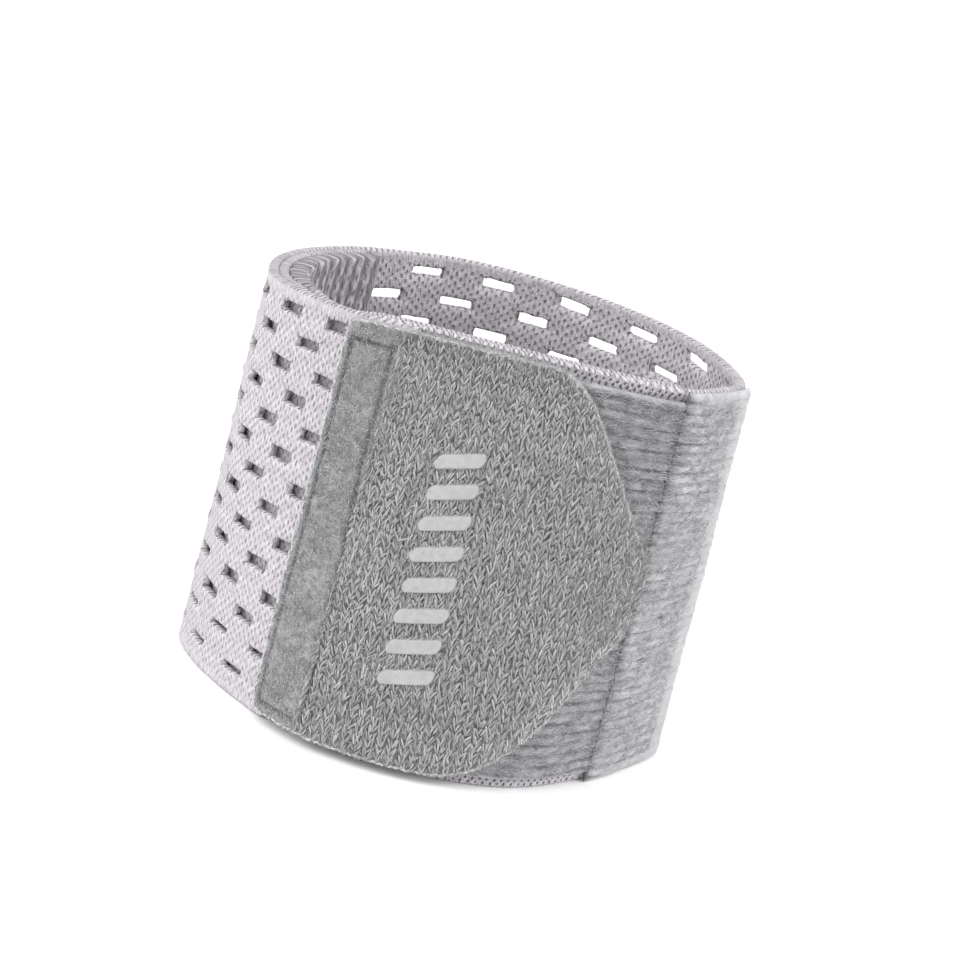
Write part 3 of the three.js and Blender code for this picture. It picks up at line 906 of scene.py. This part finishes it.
def tab_piece(material):
    tip_start = TAB_LENGTH - TAB_TIP_RADIUS
    tip_grid = tip_start + TIP_GRID_START
    straight = np.linspace(0, tip_grid, round(tip_grid / TAB_GRID) + 1)
    tip_angle = np.linspace(math.asin(TIP_GRID_START / TAB_TIP_RADIUS), TIP_GRID_END, TIP_COLUMNS + 1)[1:]
    runs = np.concatenate([straight, tip_start + TAB_TIP_RADIUS * np.sin(tip_angle)])
    upper, lower = tab_edges(runs)
    slope_up = np.gradient(upper, runs)
    slope_down = np.gradient(lower, runs)
    rows = round(BAND_HEIGHT / TAB_GRID)
    even = np.linspace(0, 1, rows + 1)
    shares = mix(even, 0.5 - 0.5 * np.cos(np.pi * even), 0.35)
    height = lower[:, None] + (upper - lower)[:, None] * shares[None, :]
    run = np.broadcast_to(runs[:, None], height.shape)
    to_upper = (upper[:, None] - height) / np.sqrt(1 + slope_up[:, None] ** 2)
    to_lower = (height - lower[:, None]) / np.sqrt(1 + slope_down[:, None] ** 2)
    edge = np.minimum(np.minimum(to_upper, to_lower), np.minimum(run, runs[-1] - run))
    seat = tab_seat(run, height)
    relief = tab_relief(run, height)
    points, faces, maps = relief_sheet(run + TAB_EDGE, height, edge, seat, TAB, relief, TAB_EDGE_ROUND)
    obj = new_object("tab_cloth", points, faces, maps, material, "closure_tab")


def tab_outer(run, height):
    return tab_seat(run, height) + TAB


# Threads, fibres, dark rods of painted shade in the selvedge gaps, and the raised print
# Along a rod: share of its length from the middle, and share of its radius there
ROD_STATIONS = np.array([(-0.5, 0.0), (-0.36, 0.85), (0.0, 1.0), (0.36, 0.85), (0.5, 0.0)])


# Each strand's part of the noise is up to this many millimetres from the next one's
MAP_SCATTER = 90.0


def capsules(centres, directions, lengths, radius, sides):
    """Small round-ended rods, as points, faces and maps"""
    directions = unit(directions)
    helper = np.where(np.abs(directions[:, 2:3]) > 0.8, [[1.0, 0, 0]], [[0, 0, 1.0]])
    side = unit(np.cross(directions, helper))
    other = np.cross(directions, side)
    angles = np.arange(sides) * 2 * np.pi / sides
    points = []
    for share, width in ROD_STATIONS:
        for angle in angles:
            offset = side * math.cos(angle) + other * math.sin(angle)
            points.append(centres + directions * (lengths[:, None] * share) + offset * radius * width)
    points = np.stack(points, 1)
    count, per_rod = points.shape[:2]
    number = np.arange(per_rod).reshape(-1, sides)
    after = np.roll(number, -1, axis=1)
    quads = np.stack([number[:-1], after[:-1], after[1:], number[1:]], -1).reshape(-1, 4)
    faces = (quads + (np.arange(count) * per_rod)[:, None, None]).reshape(-1, 4)
    rng = np.random.default_rng(count)
    up = (lengths[:, None] * ROD_STATIONS[:, 0])[..., None]
    up = up + rng.uniform(0, MAP_SCATTER, count)[:, None, None]
    round_it = np.abs(angles - np.pi) * radius + rng.uniform(0, MAP_SCATTER, count)[:, None, None]
    shade = rng.uniform(0.25, 0.85, count)[:, None, None]
    round_it, up, shade = np.broadcast_arrays(round_it, up, shade)
    maps = {
        "cloth": np.stack([round_it, up], -1).reshape(-1, 2),
        "relief": np.stack([shade, up], -1).reshape(-1, 2),
    }
    return points.reshape(-1, 3), faces, maps


def pointing(axes, lean):
    """Directions from how far they lean along the run, the rise and the normal"""
    return unit(sum(axis * np.reshape(share, (-1, 1)) for axis, share in zip(axes, lean)))


def rods(name, material, places, lean, lengths, radius, sides=6):
    """A piece of short rods at places (along, height, out), leaning (along, up, out)"""
    centre, *axes = frame_at(*places)
    points, faces, maps = capsules(centre, pointing(axes, lean), lengths, radius, sides)
    new_object(name, points, faces, maps, material)


def box_stitch_piece(material):
    rng = np.random.default_rng(21)
    places = []
    for z in np.arange(BOX_LOW, BOX_HIGH, STITCH_PITCH):
        places.append((BOX_LEFT, z + 0.5 * STITCH_PITCH, 0.0, 1.0))
        places.append((float(box_right(z + 1.0)), z + 0.5 * STITCH_PITCH, 0.0, 1.0))
    for z in (BOX_LOW, BOX_HIGH):
        for run in np.arange(BOX_LEFT, float(box_right(z)), STITCH_PITCH):
            places.append((run + 0.5 * STITCH_PITCH, z, 1.0, 0.0))
    places = np.array(places)
    places = places[rng.uniform(0, 1, len(places)) < STITCHES_SHOWN]
    count = len(places)
    run = places[:, 0] + rng.normal(0, 0.12, count)
    height = places[:, 1] + rng.normal(0, 0.12, count)
    askew = rng.normal(0, 0.16, count)
    across, up = places[:, 2], places[:, 3]
    rods(
        "box_stitches", material,
        places=(run + TAB_EDGE, height, tab_outer(run, height) - 0.36),
        lean=(across + askew * up, up + askew * across, rng.normal(0, 0.05, count)),
        lengths=rng.uniform(0.7, 1.15, count) * STITCH_LENGTH,
        radius=0.15,
    )


def seam_stitch_piece(material):
    rng = np.random.default_rng(22)
    height = np.arange(2.6, BAND_HEIGHT - 2.4, SEAM_STITCH_PITCH) + 0.3
    count = len(height)
    along = np.full(count, SEAM) + rng.normal(0, 0.08, count)
    rods(
        "seam_stitches", material,
        places=(along, height, CLEARANCE + PILE - 0.7),
        lean=(rng.normal(0, 0.1, count), 1.0, 0.0),
        lengths=np.full(count, 1.5),
        radius=0.15,
    )


def hairs(name, material, places, lean, lengths, bend, width, seed):
    """A piece of short curved hairs, as narrow ribbons that taper to a point"""
    roots, *axes = frame_at(*places)
    directions = pointing(axes, lean)
    rng = np.random.default_rng(seed)
    count = len(roots)
    side = unit(np.cross(directions, unit(rng.normal(0, 1, (count, 3)))))
    curl = unit(rng.normal(0, 1, (count, 3))) * bend[:, None]
    middle = roots + directions * lengths[:, None] * 0.55 + curl * 0.6
    tip = roots + directions * lengths[:, None] + curl * 1.4
    rows = []
    for place, share in ((roots, 1.0), (middle, 0.85), (tip, 0.25)):
        rows += [place - side * width * share / 2, place + side * width * share / 2]
    points = np.stack(rows, 1).reshape(-1, 3)
    start = np.arange(count) * 6
    faces = np.concatenate([
        np.stack([start, start + 1, start + 3, start + 2], -1),
        np.stack([start + 2, start + 3, start + 5, start + 4], -1),
    ])
    shade = np.repeat(rng.uniform(0, 1, count), 6)
    across = np.tile([0.0, 0.1, 0.0, 0.1, 0.0, 0.1], count) + shade * MAP_SCATTER
    up = np.tile([0.0, 0.0, 0.5, 0.5, 1.0, 1.0], count)
    maps = {"cloth": np.stack([across, up], -1), "relief": np.stack([shade, up], -1)}
    new_object(name, points, faces, maps, material)


LEG_LENGTH = 2.0
LEG_RADIUS = 0.18
LEG_LEAN = 0.34
LEG_STRANDS = 2
LEG_OFFSET = 0.2
STRAND_SPACING = 0.34


def tab_yarn_piece(material):
    """The two legs of each V stitch, two short loose strands each, overlapping upwards"""
    rng = np.random.default_rng(41)
    last_column = math.ceil((TAB_EDGE + TAB_LENGTH) / KNIT_COLUMN)
    columns = np.arange(math.floor(PLAIN_BEFORE / KNIT_COLUMN), last_column)
    rows = np.arange(0, round(BAND_HEIGHT / KNIT_ROW))
    strands = np.arange(LEG_STRANDS) - (LEG_STRANDS - 1) / 2
    every = np.meshgrid(columns, rows, [-1.0, 1.0], strands, indexing="ij")
    column, row, way, strand = (values.ravel() for values in every)
    along = (column + 0.5 - way * LEG_OFFSET) * KNIT_COLUMN + strand * STRAND_SPACING
    along = along + rng.normal(0, 0.1, len(way))
    phase = rng.uniform(0, 1, len(columns))[(column - columns[0]).astype(int)]
    height = (row + phase) * KNIT_ROW + rng.normal(0, 0.2, len(way))
    run = along - TAB_EDGE
    inside = (along > PLAIN_BEFORE + 0.3) & (run < TAB_LENGTH - 0.6)
    upper, lower = tab_edges(np.clip(run, 0, TAB_LENGTH - 0.01))
    inside &= (height < upper - 0.7) & (height > lower + 0.7)
    along, height, run, way = along[inside], height[inside], run[inside], way[inside]
    out = tab_outer(run, height) + rng.normal(0.06, 0.08, len(run)) + stitch_groove(run, height)
    lean = -way * (LEG_LEAN + rng.normal(0, 0.2, len(run)))
    room = np.minimum(upper[inside] - height, height - lower[inside])
    rods(
        "tab_yarn", material,
        places=(along, height, out),
        lean=(np.sin(lean), np.cos(lean), rng.uniform(0.05, 0.3, len(run))),
        lengths=np.minimum(LEG_LENGTH * rng.uniform(0.65, 1.25, len(run)), 2 * room),
        radius=LEG_RADIUS,
        sides=4,
    )


TAB_RIM_SAMPLES = 4000
TAB_RIM_STEP = 0.2
TAB_RIM_SPACING = 0.22


def tab_rim_piece(material):
    """The pale bound edge of the tab, as short strands lying along it"""
    rng = np.random.default_rng(45)
    runs = np.linspace(0.05, TAB_LENGTH - 0.05, TAB_RIM_SAMPLES)
    upper, lower = tab_edges(runs)
    round_it = np.concatenate([np.stack([runs, upper], -1)[::-1], np.stack([runs, lower], -1)])
    lengths = np.concatenate([[0], np.cumsum(np.linalg.norm(np.diff(round_it, axis=0), axis=1))])
    places = np.arange(TAB_RIM_STEP, lengths[-1] - TAB_RIM_STEP, TAB_RIM_SPACING)
    run = np.interp(places, lengths, round_it[:, 0])
    height = np.interp(places, lengths, round_it[:, 1])
    step_run = np.interp(places + TAB_RIM_STEP, lengths, round_it[:, 0]) - run
    step_up = np.interp(places + TAB_RIM_STEP, lengths, round_it[:, 1]) - height
    inward = unit(np.stack([-step_up, step_run], -1))
    inset = rng.uniform(0.05, 0.35, len(places))
    run = np.clip(run + inward[:, 0] * inset, 0.02, TAB_LENGTH - 0.02)
    height = height + inward[:, 1] * inset
    out = tab_seat(run, height) + TAB * rng.uniform(0.6, 1.08, len(places))
    count = len(places)
    ahead = step_run / TAB_RIM_STEP + rng.normal(0, 0.35, count)
    upward = step_up / TAB_RIM_STEP + rng.normal(0, 0.35, count)
    rods(
        "tab_rim", material,
        places=(run + TAB_EDGE, height, out),
        lean=(ahead, upward, rng.normal(0, 0.2, count)),
        lengths=rng.uniform(0.7, 1.3, count),
        radius=0.2,
        sides=4,
    )


def rim_stitch_piece(material):
    """White binding stitches over the upper rim of the doubled turn, behind the tab and the panel"""
    rng = np.random.default_rng(43)
    along = np.arange(TAB_EDGE + 5.0, SEAM - 1.0, 1.45)
    count = len(along)
    along = along + rng.normal(0, 0.08, count)
    height = np.full(count, BAND_HEIGHT - 0.15) + rng.normal(0, 0.06, count)
    rods(
        "rim_stitches", material,
        places=(along, height, 0.25),
        lean=(rng.normal(0.25, 0.2, count), -0.35, 1.0),
        lengths=rng.uniform(1.5, 2.1, count),
        radius=0.27,
    )


# Rows of the dark rods that stand in for the shade in the selvedge gaps
SELVEDGE_GAP_SHADE_ROWS = (0.7, 1.45, BAND_HEIGHT - 1.65, BAND_HEIGHT - 0.95)


def selvedge_gap_shade_piece(material):
    """Dark rods that paint the shade in the rows of small gaps along the selvedge below and above the panel
    """
    rng = np.random.default_rng(44)
    along = np.arange(2.0, SEAM - 1.0, 1.3)
    places = [(a + 0.65 * (k % 2), z) for k, z in enumerate(SELVEDGE_GAP_SHADE_ROWS) for a in along]
    places = np.array(places) + rng.normal(0, 0.05, (len(places), 2))
    rods(
        "selvedge_gap_shade", material,
        places=(places[:, 0], places[:, 1], 0.02),
        lean=(rng.normal(0.5, 0.25, len(places)), 1.0, 0.0),
        lengths=np.full(len(places), 0.75),
        radius=0.24,
    )


TAB_HAIRS = 43000
EDGE_HAIRS = 9000
PILE_HAIRS = 22000
ROOT_HAIR_SHARE = 0.17
ROOT_HAIR_LENGTH = 0.55
CROSSED_HAIR_SHARE = 0.12


def tab_fibre_piece(material):
    """Short hair over the tab, leaning with its stitches, and every way at the plain root"""
    rng = np.random.default_rng(31)
    count = TAB_HAIRS
    run = rng.uniform(0.6, TAB_LENGTH - 0.6, count)
    at_root = rng.uniform(0, 1, count) < ROOT_HAIR_SHARE
    run = np.where(at_root, rng.uniform(0.5, PLAIN_BEFORE - TAB_EDGE + 1.0, count), run)
    upper, lower = tab_edges(run)
    height = lower + (upper - lower) * rng.uniform(0.005, 0.995, count)
    out = tab_outer(run, height) + np.where(run < PLAIN_BEFORE - TAB_EDGE, 0.05, 0.16)
    out = out + 1.2 * stitch_groove(run, height)
    leg = np.sign(((run + TAB_EDGE) / KNIT_COLUMN) % 1.0 - 0.5)
    leg = leg * np.where(rng.uniform(0, 1, count) < CROSSED_HAIR_SHARE, -1, 1)
    lean = leg * rng.normal(0.38, 0.26, count)
    loose = run + TAB_EDGE < PLAIN_BEFORE
    lean = np.where(loose, rng.normal(0, 0.9, count), lean)
    hairs(
        "tab_fibres", material,
        places=(run + TAB_EDGE, height, out),
        lean=(np.sin(lean), np.cos(lean), rng.uniform(0.02, 0.3, count)),
        lengths=rng.uniform(0.7, 1.7, count) * np.where(loose, ROOT_HAIR_LENGTH, 1.0),
        bend=rng.uniform(0.0, 0.3, count),
        width=0.085,
        seed=32,
    )


def tab_edge_fibre_piece(material):
    """The cut edge of the tab, where short fibres stand out all along it"""
    rng = np.random.default_rng(33)
    count = EDGE_HAIRS
    run = TAB_LENGTH * rng.uniform(0, 1, count) ** 0.62
    run = np.minimum(run, TAB_LENGTH - 0.02)
    upper, lower = tab_edges(run)
    on_upper = rng.uniform(0, 1, count) < 0.5
    height = np.where(on_upper, upper, lower)
    step = 0.05
    before_u, before_l = tab_edges(run - step)
    slope = np.where(on_upper, (upper - before_u), (lower - before_l)) / step
    way = np.where(on_upper, 1.0, -1.0)
    away = unit(np.stack([-slope * way, way], -1))
    out = tab_seat(run, height) + TAB * rng.uniform(0.15, 1.0, count)
    run = run - away[:, 0] * 0.45
    height = height - away[:, 1] * 0.45
    ahead = away[:, 0] + rng.normal(0, 0.45, count)
    upward = away[:, 1] + rng.normal(0, 0.45, count)
    hairs(
        "tab_edge_fibres", material,
        places=(run + TAB_EDGE, height, out),
        lean=(ahead, upward, rng.uniform(-0.1, 0.7, count)),
        lengths=rng.uniform(0.5, 1.0, count),
        bend=rng.uniform(0, 0.18, count),
        width=0.08,
        seed=34,
    )


def pile_fibre_piece(material):
    """Fine hair over both panels, lying round the loop"""
    rng = np.random.default_rng(35)
    count = PILE_HAIRS
    along = rng.uniform(6.0, SEAM + END_PANEL_LENGTH - 7.0, count)
    height = rng.uniform(2.4, BAND_HEIGHT - 2.4, count)
    turn = rng.normal(0, 0.35, count) + 0.8 * speckle(along, height, 3.2, 11)
    way = np.where(rng.uniform(0, 1, count) < 0.5, -1.0, 1.0)
    hairs(
        "pile_fibres", material,
        places=(along, height, CLEARANCE + PILE + 0.08),
        lean=(np.cos(turn) * way, np.sin(turn), rng.uniform(0.05, 0.35, count)),
        lengths=rng.uniform(0.6, 1.5, count),
        bend=rng.uniform(0.0, 0.22, count),
        width=0.07,
        seed=36,
    )


# The raised print: a plain row of slanted bars with rounded ends
BAR_COUNT = 8
BAR_LOW = 18.0
BAR_PITCH = 5.4
BAR_MIDDLE = -3.2
BAR_LENGTH = 9.0
BAR_WIDTH = 3.0
BAR_SLANT = 0.26
BAR_EDGE_ROUND = 0.35
BAR_CELLS = (26, 10)


def print_piece(material):
    a, b = grid(-1, 1, BAR_CELLS[0], -1, 1, BAR_CELLS[1])
    half_width = BAR_WIDTH / 2
    reach = BAR_LENGTH / 2 - half_width + np.sqrt(np.maximum(0, 1 - b**2)) * half_width
    x = a * reach
    y = b * half_width
    from_side = np.minimum(half_width * (1 - np.abs(b)), reach * (1 - np.abs(a)))
    rise = 0.75 * roundness(from_side, BAR_EDGE_ROUND)
    along = BAR_MIDDLE + x + 0.12 * y
    number = np.arange(a.size).reshape(a.shape)
    points = []
    faces = []
    for k in range(BAR_COUNT):
        height = BAR_LOW + k * BAR_PITCH + y + BAR_SLANT * x
        out = tab_outer(along - TAB_EDGE, height) - 0.2 + rise + 0.03 * speckle(along, height, 0.8, 9)
        points.append(wall(along, height, out).reshape(-1, 3))
        faces.append(quads_of(number + k * a.size))
    points = np.concatenate(points)
    new_object("print_bars", points, np.concatenate(faces), {}, material)


elastic = elastic_material()
pile = pile_material()
tab_knit = tab_material()
# The dark thread is also used for the painted shade in the selvedge gaps
thread_and_gap_shade = plain_material("dark_thread_and_gap_shade", (0.07, 0.07, 0.075), (0.16, 0.16, 0.17), 0.8, 0.5)
seam_thread = plain_material("seam_thread", (0.16, 0.16, 0.165), (0.26, 0.26, 0.27), 0.85, 0.5)
yarn = strand_material("tab_strand", (0.235, 0.235, 0.24), (0.60, 0.60, 0.61))
fibre = strand_material("tab_hair", (0.15, 0.15, 0.153), (0.66, 0.66, 0.672))
rim_hair = strand_material("edge_hair", (0.34, 0.34, 0.34), (0.69, 0.69, 0.69))
pile_hair = strand_material("pile_hair", (0.12, 0.12, 0.126), (0.64, 0.64, 0.66))
white_thread = plain_material("white_thread", (0.56, 0.545, 0.56), (0.70, 0.69, 0.70), 0.85, 0.5)
print_ink = plain_material("raised_print", (0.40, 0.40, 0.40), (0.45, 0.45, 0.45), 0.55, 1.2)
hook_plastic = plain_material("hook_plastic", (0.22, 0.22, 0.225), (0.30, 0.30, 0.31), 0.5, 0.6)

wrap_band_piece(elastic)
folded_band_piece(elastic)
loop_start = TAB_EDGE + TAB_ROOT + SELVEDGE
loop_end = SEAM + PANEL_OVERLAP
loop_high = BAND_HEIGHT - SELVEDGE
panel_piece("loop_pile", loop_start, loop_end, SELVEDGE, loop_high, 1, pile, "loop_panel")
end_start = SEAM - PANEL_OVERLAP
end_end = SEAM + CLEARANCE / 2 + END_PANEL_LENGTH
panel_piece("end_pile", end_start, end_end, 0.0, BAND_HEIGHT, 2, pile, "end_panel")
tab_piece(tab_knit)
box_stitch_piece(thread_and_gap_shade)
seam_stitch_piece(seam_thread)
tab_yarn_piece(yarn)
tab_rim_piece(rim_hair)
rim_stitch_piece(white_thread)
selvedge_gap_shade_piece(thread_and_gap_shade)
tab_fibre_piece(fibre)
tab_edge_fibre_piece(rim_hair)
pile_fibre_piece(pile_hair)
print_piece(print_ink)
for material_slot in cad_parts["hook_patch"].material_slots:
    material_slot.material = hook_plastic

# Floor, camera and light
FLOOR_HALF = 4.0
floor_mesh = bpy.data.meshes.new("studio_floor")
corners = [(-1, -1), (1, -1), (1, 1), (-1, 1)]
floor_mesh.from_pydata([(x * FLOOR_HALF, y * FLOOR_HALF, 0) for x, y in corners], [], [(0, 1, 2, 3)])
floor_material = bpy.data.materials.new("pale_floor")
floor_material.use_nodes = True
floor_shader = floor_material.node_tree.nodes["Principled BSDF"]
set_inputs(floor_shader, {"Base Color": (0.95, 0.95, 0.95, 1), "Roughness": 0.9, "Specular IOR Level": 0.0})
floor_mesh.materials.append(floor_material)
floor = bpy.data.objects.new("studio_floor", floor_mesh)
scene.collection.objects.link(floor)


def posed(obj, axes, place):
    """Links an object with its x, y and z axes turned these ways, at a place in metres"""
    pose = Matrix.Identity(4)
    for column, vector in enumerate((*axes, place)):
        for row in range(3):
            pose[row][column] = vector[row]
    obj.matrix_world = pose
    scene.collection.objects.link(obj)


CAMERA_PLACE = np.array([0.0, -475.53, 192.01])
CAMERA_DOWN = math.radians(18)
CAMERA_ROLL = math.radians(13.9)
IMAGE_SIZE = 960
FOCAL_PIXELS = 2691.8
AXIS_PIXEL = (466, 517)
SENSOR = 36.0

forward = np.array([0.0, math.cos(CAMERA_DOWN), -math.sin(CAMERA_DOWN)])
level = np.array([1.0, 0.0, 0.0])
upward = np.cross(level, forward)
camera_x = math.cos(CAMERA_ROLL) * level + math.sin(CAMERA_ROLL) * upward
camera_y = -math.sin(CAMERA_ROLL) * level + math.cos(CAMERA_ROLL) * upward
camera_data = bpy.data.cameras.new("camera")
camera_data.sensor_width = SENSOR
camera_data.lens = FOCAL_PIXELS / IMAGE_SIZE * SENSOR
camera_data.shift_x = (IMAGE_SIZE / 2 - AXIS_PIXEL[0]) / IMAGE_SIZE
camera_data.shift_y = (AXIS_PIXEL[1] - IMAGE_SIZE / 2) / IMAGE_SIZE
camera_data.clip_start = 0.01
camera_data.clip_end = 20
camera = bpy.data.objects.new("camera", camera_data)
posed(camera, (camera_x, camera_y, -forward), (CAMERA_PLACE + PLACE) * MM)
scene.camera = camera


def softbox(name, place, target, size, power):
    data = bpy.data.lights.new(name, "AREA")
    data.shape = "SQUARE"
    data.size = size
    data.energy = power
    light = bpy.data.objects.new(name, data)
    away = unit(np.array(place, float) - np.array(target, float))
    side = unit(np.cross([0, 0, 1.0], away))
    posed(light, (side, np.cross(away, side), away), place)


LOOP_MIDDLE = (0.0, 0.0, 0.04)
SUN_WAY = (-0.36, -0.5, 0.8)
SUN_SOFTNESS = math.radians(70)
softbox("light_right", (0.95, 0.05, 0.4), LOOP_MIDDLE, size=0.7, power=8.0)
softbox("light_left", (-0.95, -0.15, 0.4), LOOP_MIDDLE, size=0.6, power=4.0)
sun_data = bpy.data.lights.new("light_above", "SUN")
sun_data.energy = 1.5
sun_data.angle = SUN_SOFTNESS
sun = bpy.data.objects.new("light_above", sun_data)
sun.rotation_mode = "QUATERNION"
sun.rotation_quaternion = Vector(SUN_WAY).to_track_quat("Z", "Y")
scene.collection.objects.link(sun)
world = bpy.data.worlds.new("studio_world")
world.use_nodes = True
set_inputs(world.node_tree.nodes["Background"], {"Color": (1, 1, 1, 1), "Strength": 0.68})
scene.world = world
scene.view_settings.view_transform = "Standard"
